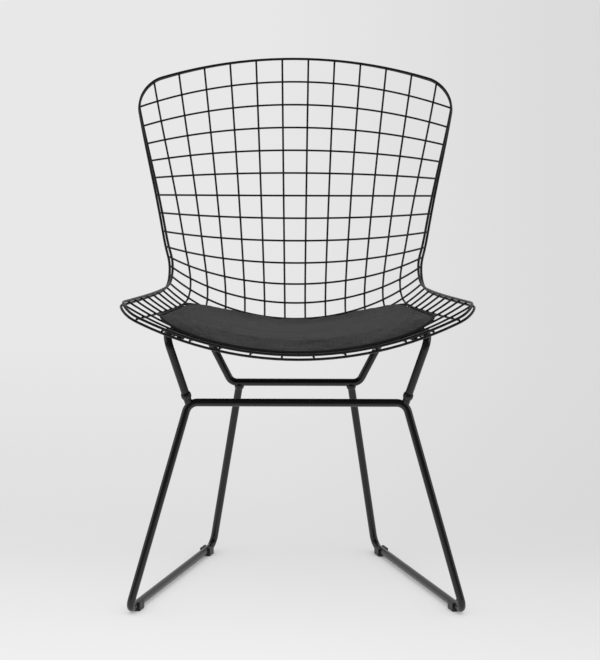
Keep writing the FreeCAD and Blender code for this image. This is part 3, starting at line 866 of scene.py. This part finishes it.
@dataclass
class WireShell:
    """The mesh of long and cross wires between its two rims, and the nugget at each weld."""

    surface: ShellSurface
    nodes: Mapping[str, Piece]
    nugget_radius: float = 0.0021
    nugget_height: float = 0.00115
    nugget_segments: int = 10
    nugget_rings: int = 6

    def build(self) -> None:
        """Dresses the wires and adds the weld nuggets."""
        wires = [name for name in self.nodes if name.startswith(("long_wire_", "cross_wire_", "rim_"))]
        for name in wires:
            dress(self.nodes[name], Finish.WIRE)
        LOG.info("wire shell: %d wires and rims dressed", len(wires))
        self._nuggets()

    def _nuggets(self) -> None:
        """Adds a flattened bead of weld between the two wires of each crossing."""
        squeeze = (1.0, 1.0, self.nugget_height / self.nugget_radius)
        nugget = stretched_ball(self.nugget_segments, self.nugget_rings, self.nugget_radius, squeeze)
        piece = copies_at(nugget, self._crossings(), "weld_nuggets")
        dress(piece, Finish.WIRE)
        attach(piece, ROOT)
        LOG.info("weld nuggets: %d faces", len(piece.data.polygons))

    def _crossings(self) -> list[Matrix]:
        """Finds the places of the welds.

        Returns:
            Placements with X along the shell and Z off it.
        """
        places = []
        for row in range(1, self.surface.cross_wires + 1):
            s = self.surface.row(row)
            for number in range(self.surface.long_wires):
                u = self.surface.long_wire_u(s, number)
                normal = self.surface.normal(s, u)
                along = self.surface.along(s, u)
                places.append(axes_at(self.surface.point(s, u), along, normal))
        return places


@dataclass
class SledBase:
    """The two bent rods, their weld beads and the glides."""

    nodes: Mapping[str, Piece]

    def build(self) -> None:
        """Dresses the base."""
        for name in ("frame_lower_rod", "frame_upper_rod", "weld_beads"):
            dress(self.nodes[name], Finish.ROD)
        dress(self.nodes["glides"], Finish.GLIDE)
        LOG.info("sled base: rods, beads and glides dressed")


@dataclass
class RailClips:
    """The steel straps that hold the shell to the side rails, with their bolts and nuts."""

    nodes: Mapping[str, Piece]

    def build(self) -> None:
        """Dresses the clips."""
        dress(self.nodes["seat_clips"], Finish.STRAP)
        for name in ("clip_bolts", "clip_nuts", "loop_studs"):
            dress(self.nodes[name], Finish.FASTENER)
        LOG.info("rail clips: straps, bolts and nuts dressed")


@dataclass
class SeatPad:
    """The seat cushion with its welt, its row of stitches and the loops that hold it to the mesh."""

    surface: ShellSurface
    nodes: Mapping[str, Piece]
    front_at: float = 0.021
    rear_at: float = 0.404
    half_width: float = 0.217
    taper: float = 0.022
    front_corner: Pair = (0.077, 0.075)
    rear_corner: Pair = (0.120, 0.144)
    outline_steps: int = 4000
    band: float = 0.0055
    front_thinning: float = 0.5
    thinning_reach: float = 0.024
    painted_shade_facing: float = 0.6
    gap: float = 0.0003
    welt_radius: float = 0.002
    welt_lift: float = 0.84
    welt_proud: float = 0.0008
    welt_step: float = 0.0015
    welt_roundness: int = 4
    voxel: float = 0.004
    smoothing: float = 0.5
    smoothing_passes: int = 3
    merge_gap: float = 0.00001
    pressure: float = 4.0
    cloth_mass: float = 0.2
    cloth_quality: int = 6
    cloth_stretch: float = 12.0
    cloth_bending: float = 0.4
    cloth_shrink: float = -0.012
    cloth_frames: int = 20
    swell_cap: float = 0.006
    still_band: float = 0.006
    still_facing: float = 0.5
    fill: float = 0.7
    stitch_pitch: float = 0.0042
    stitch_length: float = 0.0031
    stitch_radius: float = 0.0003
    stitch_inset: float = 0.0085
    stitch_lift: float = 2.0
    stitch_segments: int = 8
    stitch_rings: int = 6
    loop_rows: tuple[int, int] = (2, 8)
    loop_wires: Pair = (2.5, 8.5)
    loop_width: float = 0.015
    loop_inner: float = 0.0020
    loop_sheet: float = 0.0012
    loop_round: float = 0.0003
    loop_steps: int = 16

    @property
    def base(self) -> float:
        """Height of the pad's underside off the mid surface."""
        return self.surface.layer + self.surface.wire_radius + self.gap

    def build(self) -> None:
        """Makes and dresses the pieces of the pad."""
        cushion = self._cushion()
        self._welt()
        self._stitches(cushion)
        self._loops()

    def edge(self, s: float) -> float:
        """Thickness of the cushion at its edge, thinned towards the front."""
        share = min(1.0, max(0.0, (s - self.front_at) / (self.rear_at - self.front_at)))
        return self.band * (1.0 - self.front_thinning * (1.0 - share))

    def height(self, s: float, lift: float) -> float:
        """Height off the mid surface at a share of the edge's thickness."""
        return self.base + lift * self.edge(s)

    def outline(self, t: float, inset: float, lift: float) -> Vector:
        """Gives a point on the pad's outline.

        Args:
            t: Place round the right half, 0 at the front middle, 1 and 2 at the ends of the front
                corner, 3 and 4 at the ends of the rear corner, 5 at the rear middle. Past 5 it runs
                back to 10 on the left half.
            inset: How far inside the outline.
            lift: How far over the underside, as a share of the edge's thickness.

        Returns:
            The point.
        """
        if t > 5:
            other = self.outline(10 - t, inset, lift)
            return Vector((-other.x, other.y, other.z))
        front, rear = self.front_at + self.front_corner[1], self.rear_at - self.rear_corner[1]
        if 2 < t <= 3:
            s = front + (rear - front) * (t - 2)
            side = self.half_width - self.taper * (t - 2)
            return self.surface.over(s, side - inset, self.height(s, lift))
        if t <= 2:
            corner, side = self.front_corner, self.half_width
            angle = math.pi / 2 * max(0.0, t - 1)
            s = front - (corner[1] - inset) * math.cos(angle)
            share = min(1.0, t)
        else:
            corner, side = self.rear_corner, self.half_width - self.taper
            angle = math.pi / 2 * max(0.0, 4 - t)
            s = rear + (corner[1] - inset) * math.cos(angle)
            share = min(1.0, 5 - t)
        u = (side - corner[0]) * share + (corner[0] - inset) * math.sin(angle)
        return self.surface.over(s, u, self.height(s, lift))

    def even_outline(self, inset: float, lift: float, pitch: float) -> list[Vector]:
        """Walks round the pad's outline at an even pitch.

        Args:
            inset: How far inside the outline.
            lift: How far over the underside, as a share of the edge's thickness.
            pitch: The wanted distance.

        Returns:
            The points.
        """
        steps = self.outline_steps
        fine = [self.outline(10 * step / steps, inset, lift) for step in range(steps + 1)]
        lengths = [0.0]
        for before, after in zip(fine, fine[1:]):
            lengths.append(lengths[-1] + (after - before).length)
        count = round(lengths[-1] / pitch)
        points, place = [], 0
        for step in range(count):
            wanted = lengths[-1] * step / count
            while lengths[place + 1] < wanted:
                place += 1
            share = (wanted - lengths[place]) / (lengths[place + 1] - lengths[place])
            points.append(fine[place].lerp(fine[place + 1], share))
        return points

    def _cushion(self) -> Piece:
        """Makes the cushion from the frame's pad: its edge thinned, its top swollen by cloth.

        Returns:
            The cushion.
        """
        mesh = self.nodes["seat_pad"].data.copy()
        piece = bpy.data.objects.new("seat_cushion", mesh)
        bpy.context.scene.collection.objects.link(piece)
        select_only(piece)
        bpy.ops.mesh.customdata_custom_splitnormals_clear()
        in_edit_mode(piece, lambda: bpy.ops.mesh.remove_doubles(threshold=self.merge_gap))
        apply_modifier(piece, "REMESH", mode="VOXEL", voxel_size=self.voxel, adaptivity=0.0)
        apply_modifier(piece, "SMOOTH", factor=self.smoothing, iterations=self.smoothing_passes)
        self._thin_edge(piece)
        self._swell(piece)
        apply_modifier(piece, "SUBSURF", levels=1, render_levels=1)
        select_only(piece)
        bpy.ops.object.shade_smooth()
        dress(piece, Finish.COVER)
        # Painted shade: the side band and underside get a darker cloth.
        self._paint_band_shade(piece)
        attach(piece, ROOT)
        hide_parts("seat_pad")
        LOG.info("seat cushion: %d faces", len(piece.data.polygons))
        return piece

    def _thin_edge(self, piece: Piece) -> None:
        """Lowers the top towards the outline, so that the panel runs down to the welt.

        Args:
            piece: The cushion.
        """
        tree = self._tree(self.even_outline(0.0, 0.5, self.voxel))
        for vertex in piece.data.vertices:
            _, _, distance = tree.find(vertex.co)
            if distance > self.thinning_reach:
                continue
            s, u = self.surface.locate(vertex.co)
            up = self.surface.normal(s, u)
            height = (vertex.co - self.surface.point(s, u)).dot(up) - self.base
            inner = distance / self.thinning_reach
            share = (1.0 - inner * inner * (3.0 - 2.0 * inner)) * (1.0 - self.edge(s) / self.band)
            vertex.co -= up * (max(0.0, height) * share)

    def _paint_band_shade(self, piece: Piece) -> None:
        """Paints shade on the side band and the underside: they get a near-black cloth that stands in for
        the shade there.

        Args:
            piece: The cushion.
        """
        piece.data.materials.append(Finish.BAND.material())
        tree = self._tree(self.even_outline(self.welt_radius, self.welt_lift, self.voxel))
        for polygon in piece.data.polygons:
            near, _, _ = tree.find(polygon.center)
            up = self.surface.normal(*self.surface.locate(near))
            below = (polygon.center - near).dot(up) < 0.0
            # Faces below the welt that turn away from up get the painted shade.
            polygon.material_index = int(below and polygon.normal.dot(up) < self.painted_shade_facing)

    @staticmethod
    def _tree(points: list[Vector]) -> KDTree:
        """Makes a search tree.

        Args:
            points: The points to find.

        Returns:
            The tree.
        """
        tree = KDTree(len(points))
        for index, point in enumerate(points):
            tree.insert(point, index)
        tree.balance()
        return tree

    def _swell(self, piece: Piece) -> None:
        """Blows the top panel up a little, held at the welt and below it.

        Args:
            piece: The cushion.
        """
        tree = self._tree(self.even_outline(self.welt_radius, 1.0, self.voxel))
        held = piece.vertex_groups.new(name="held")
        for vertex in piece.data.vertices:
            _, _, distance = tree.find(vertex.co)
            still = vertex.normal.z < self.still_facing or distance < self.still_band
            held.add([vertex.index], 1.0 if still else 0.0, "REPLACE")
        select_only(piece)
        cloth = piece.modifiers.new("Swell", "CLOTH")
        settings = cloth.settings
        settings.quality = self.cloth_quality
        settings.mass = self.cloth_mass
        settings.tension_stiffness = self.cloth_stretch
        settings.compression_stiffness = self.cloth_stretch
        settings.bending_stiffness = self.cloth_bending
        settings.use_pressure = True
        settings.uniform_pressure_force = self.pressure
        settings.shrink_min = self.cloth_shrink
        settings.effector_weights.gravity = 0.0
        settings.vertex_group_mass = held.name
        cloth.collision_settings.use_collision = False
        rest = [vertex.co.copy() for vertex in piece.data.vertices]
        for frame in range(1, self.cloth_frames + 1):
            bpy.context.scene.frame_set(frame)
        bpy.ops.object.modifier_apply(modifier=cloth.name)
        bpy.context.scene.frame_set(1)
        for vertex, start in zip(piece.data.vertices, rest):
            move = vertex.co - start
            if move.length > self.swell_cap:
                vertex.co = start + move * (self.swell_cap / move.length)
        piece.vertex_groups.clear()

    def _welt(self) -> None:
        """Makes the welt as a covered cord round the top panel."""
        points = self.even_outline(-self.welt_proud, self.welt_lift, self.welt_step)
        bpy.ops.object.select_all(action="DESELECT")
        bpy.ops.curve.primitive_nurbs_circle_add()
        curve = bpy.context.object
        curve.data.splines.clear()
        spline = curve.data.splines.new("POLY")
        spline.points.add(len(points) - 1)
        for place, point in zip(spline.points, points):
            place.co = (*point, 1.0)
        spline.use_cyclic_u = True
        curve.data.bevel_depth = self.welt_radius
        curve.data.bevel_resolution = self.welt_roundness
        select_only(curve)
        bpy.ops.object.convert(target="MESH")
        piece = bpy.context.object
        piece.name = "seat_welt"
        piece.data.materials.clear()
        select_only(piece)
        bpy.ops.object.shade_smooth()
        # The welt's cloth carries painted shade: it is darker than the cover it matches.
        dress(piece, Finish.WELT)
        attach(piece, ROOT)
        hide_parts("pad_piping")
        LOG.info("seat welt: %d faces", len(piece.data.polygons))

    def _stitches(self, cushion: Piece) -> None:
        """Adds the row of stitches just inside the welt.

        Args:
            cushion: The cushion on which they lie.
        """
        stretch = (self.stitch_length / (2 * self.stitch_radius), 1.0, 1.0)
        stitch = stretched_ball(self.stitch_segments, self.stitch_rings, self.stitch_radius, stretch)
        mesh = cushion.data
        surface = BVHTree.FromPolygons([vertex.co for vertex in mesh.vertices],
                                       [polygon.vertices[:] for polygon in mesh.polygons])
        points = self.even_outline(self.stitch_inset, self.stitch_lift, self.stitch_pitch)
        places = []
        for before, point, after in zip(points[-1:] + points, points, points[1:] + points[:1]):
            on, normal, _, _ = surface.find_nearest(point)
            way = after - before
            way = (way - normal * way.dot(normal)).normalized()
            places.append(axes_at(on, way, normal))
        piece = copies_at(stitch, places, "seat_stitches")
        dress(piece, Finish.THREAD)
        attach(piece, ROOT)
        LOG.info("seat stitches: %d", len(places))

    def _loops(self) -> None:
        """Makes the webbing loops round the cross wires."""
        radius = self.loop_inner + self.loop_sheet / 2
        bpy.ops.object.select_all(action="DESELECT")
        bpy.ops.mesh.primitive_plane_add(size=self.loop_width)
        loop = bpy.context.object

        def bend() -> None:
            """Draws one edge of the plane into a U round the wire and drops what bounds no face."""
            top = self.surface.wire_radius + self.gap / 2
            bpy.ops.mesh.delete(type="ONLY_FACE")
            bpy.ops.mesh.select_all(action="DESELECT")
            bpy.ops.object.mode_set(mode="OBJECT")
            for edge in loop.data.edges:
                middle = sum((loop.data.vertices[index].co for index in edge.vertices), Vector()) / 2
                edge.select = middle.y < -self.loop_width / 4
            bpy.ops.object.mode_set(mode="EDIT")
            bpy.ops.transform.translate(value=(0.0, self.loop_width / 2 - radius, top))
            bpy.ops.mesh.extrude_region_move(TRANSFORM_OT_translate={"value": (0.0, 0.0, -top)})
            bpy.ops.mesh.spin(steps=self.loop_steps, angle=-math.pi, center=(0.0, 0.0, 0.0),
                              axis=(1.0, 0.0, 0.0))
            bpy.ops.mesh.extrude_region_move(TRANSFORM_OT_translate={"value": (0.0, 0.0, top)})
            bpy.ops.mesh.select_all(action="SELECT")
            bpy.ops.mesh.delete_loose(use_verts=True, use_edges=True, use_faces=False)
            bpy.ops.mesh.select_all(action="SELECT")
            bpy.ops.mesh.remove_doubles(threshold=self.merge_gap)
            bpy.ops.mesh.normals_make_consistent(inside=False)

        in_edit_mode(loop, bend)
        apply_modifier(loop, "SOLIDIFY", thickness=self.loop_sheet, offset=0.0)
        apply_modifier(loop, "BEVEL", width=self.loop_round, segments=2, limit_method="ANGLE")
        smooth_shaded(loop)
        places = []
        for row in self.loop_rows:
            s = self.surface.row(row)
            for number in self.loop_wires:
                u = self.surface.long_wire_u(s, number)
                normal = self.surface.normal(s, u)
                across = self.surface.along(s, u).cross(normal)
                origin = self.surface.point(s, u) + normal * self.surface.layer
                places.append(axes_at(origin, across, normal))
        piece = copies_at(loop, places, "seat_loops")
        dress(piece, Finish.WEBBING)
        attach(piece, ROOT)
        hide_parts("pad_loops")
        LOG.info("seat loops: %d", len(places))


@dataclass(frozen=True)
class Lamp:
    """A soft lamp far away: its light, its width in degrees and the direction in which it stands."""

    name: str
    strength: float
    width: float
    towards: Triple
    mirrored: bool = True
    distance: float = 3.0

    def add(self) -> None:
        """Adds the lamp."""
        towards = Vector(self.towards)
        bpy.ops.object.light_add(type="SUN", location=towards.normalized() * self.distance)
        lamp = bpy.context.object
        lamp.name = self.name
        lamp.data.energy = self.strength
        lamp.data.angle = math.radians(self.width)
        lamp.rotation_mode = "QUATERNION"
        lamp.rotation_quaternion = towards.to_track_quat("Z", "Y")
        lamp.visible_glossy = self.mirrored


@dataclass
class Studio:
    """Pale floor, soft light and the camera at the photograph's angle."""

    camera_place: Triple = (-0.0435, -3.9982, 1.0659)
    yaw: float = 0.716
    pitch_down: float = 9.481
    roll: float = 0.283
    focal_pixels: float = 2557.2
    sensor_width: float = 36.0
    sight: float = 300.0
    floor_half: float = 60.0
    floor_colour: Colour = (0.74, 0.74, 0.74)
    floor_near: float = -0.5
    floor_far: float = 2.5
    floor_stops: tuple[Pair, ...] = (
        (0.0, 0.88), (0.13, 0.815), (0.22, 0.75), (0.3, 0.735), (0.42, 0.745), (0.8, 0.787), (1.0, 0.80))
    falloff_near: float = 0.065
    falloff_far: float = 0.145
    falloff_from: float = -4.0
    falloff_least: float = 1.0
    falloff_span: Pair = (-0.03, 0.14)
    paper_front: Pair = (-1.5, -0.45)
    paper_side: Pair = (1.0, 1.7)
    open_glow: float = 0.86
    contact_reach: float = 0.10
    contact_samples: int = 8
    world_level: float = 0.62
    world_dim: float = 0.02
    world_front: Pair = (-0.25, 0.6)
    lamps: tuple[Lamp, ...] = (
        Lamp("top_light", 1.35, 70.0, (0.05, -0.35, 1.0), mirrored=False),
        Lamp("left_light", 0.55, 50.0, (-1.0, -0.15, 0.42)),
        Lamp("right_light", 0.5, 40.0, (1.0, -0.1, 0.42)),
    )

    def build(self) -> None:
        """Makes the floor, the light and the camera."""
        bpy.context.scene.view_settings.view_transform = "Standard"
        self._floor()
        self._world()
        for lamp in self.lamps:
            lamp.add()
        self._camera()
        LOG.info("studio ready")

    def _floor(self) -> None:
        """Makes a wide floor that glows evenly where nothing stands near it and keeps the shadows."""
        bpy.ops.object.select_all(action="DESELECT")
        bpy.ops.mesh.primitive_plane_add(size=2 * self.floor_half)
        floor = bpy.context.object
        floor.name = "floor"
        material, graph = new_graph("pale_floor")
        point = graph.place()
        across, along = graph.axis(point, "X"), graph.axis(point, "Y")
        grey = self._tone(graph, across, along) * self._paper(graph, across, along)
        glow = graph.node("ShaderNodeEmission", None, {"Color": grey})
        matt = {"Base Color": (*self.floor_colour, 1.0), "Roughness": 1.0, "Specular IOR Level": 0.0}
        lit = graph.node("ShaderNodeBsdfPrincipled", None, matt)
        clear = graph.node("ShaderNodeAmbientOcclusion", {"samples": self.contact_samples},
                           {"Distance": self.contact_reach}, "AO")
        share = self.open_glow * clear * (graph.ray("Is Camera Ray") + graph.ray("Is Glossy Ray"))
        both = graph.node("ShaderNodeMixShader", None, {0: share, 1: lit, 2: glow})
        graph.node("ShaderNodeOutputMaterial", None, {"Surface": both})
        floor.data.materials.append(material)

    def _tone(self, graph: Graph, across: Signal, along: Signal) -> Signal:
        """Gives the floor's grey, which changes with the depth and falls off to the right.

        Args:
            graph: The floor's graph.
            across: Place to the right.
            along: Place away from the camera.

        Returns:
            The grey.
        """
        span = {"From Min": self.floor_near, "From Max": self.floor_far}
        depth = graph.node("ShaderNodeMapRange", None, {"Value": along, **span}, "Result")
        reach = graph.node("ShaderNodeMath", {"operation": "MAXIMUM"},
                           {0: along - self.falloff_from, 1: self.falloff_least})
        slope = graph.node("ShaderNodeMath", {"operation": "DIVIDE"}, {0: across, 1: reach})
        darkest = (1.0 - self.falloff_near) - (self.falloff_far - self.falloff_near) * depth
        return graph.ramp(depth, *self.floor_stops) * graph.ease(slope, self.falloff_span, 1.0, darkest)

    def _paper(self, graph: Graph, across: Signal, along: Signal) -> Signal:
        """Finds where the rods mirror the dark room beyond the paper the chair stands on.

        Args:
            graph: The floor's graph.
            across: Place to the right.
            along: Place away from the camera.

        Returns:
            0 there, and else 1.
        """
        aside = graph.node("ShaderNodeMath", {"operation": "ABSOLUTE"}, {0: across})
        paper = graph.ease(along, self.paper_front) * (1.0 - graph.ease(aside, self.paper_side))
        return 1.0 - graph.ray("Is Glossy Ray") * (1.0 - paper)

    def _world(self) -> None:
        """Makes an evenly pale room, which the rods mirror as dark on the camera's side."""
        world = bpy.data.worlds.new("room")
        bpy.context.scene.world = world
        world.use_nodes = True
        graph = Graph(world.node_tree)
        forward = graph.axis(graph.node("ShaderNodeTexCoord", output="Generated"), "Y")
        dimmed = graph.ray("Is Glossy Ray") * (1.0 - graph.ease(forward, self.world_front))
        level = self.world_level - (self.world_level - self.world_dim) * dimmed
        white = (1.0, 1.0, 1.0, 1.0)
        back = graph.node("ShaderNodeBackground", None, {"Color": white, "Strength": level})
        graph.node("ShaderNodeOutputWorld", None, {"Surface": back})

    def _camera(self) -> None:
        """Sets the camera where the photograph was taken from."""
        yaw, pitch, roll = (math.radians(angle) for angle in (self.yaw, self.pitch_down, self.roll))
        level = Vector((math.sin(yaw), math.cos(yaw), 0.0))
        forward = level * math.cos(pitch) - Vector((0.0, 0.0, math.sin(pitch)))
        right = Vector((math.cos(yaw), -math.sin(yaw), 0.0))
        up = right.cross(forward)
        tilted = right * math.cos(roll) + up * math.sin(roll)
        bpy.ops.object.camera_add()
        camera = bpy.context.object
        camera.matrix_world = axes_at(Vector(self.camera_place), tilted, -forward)
        camera.data.sensor_width = self.sensor_width
        camera.data.lens = self.focal_pixels * self.sensor_width / max(PHOTO_WIDTH, PHOTO_HEIGHT)
        camera.data.clip_end = self.sight
        bpy.context.scene.camera = camera


def main() -> None:
    """Builds the chair's looks round the fixed frame."""
    logging.basicConfig(level=logging.INFO, format="%(name)s: %(message)s")
    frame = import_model()
    nodes = frame["nodes"]
    surface = ShellSurface()
    Studio().build()
    WireShell(surface, nodes).build()
    SledBase(nodes).build()
    RailClips(nodes).build()
    SeatPad(surface, nodes).build()


if __name__ == "__main__":
    main()
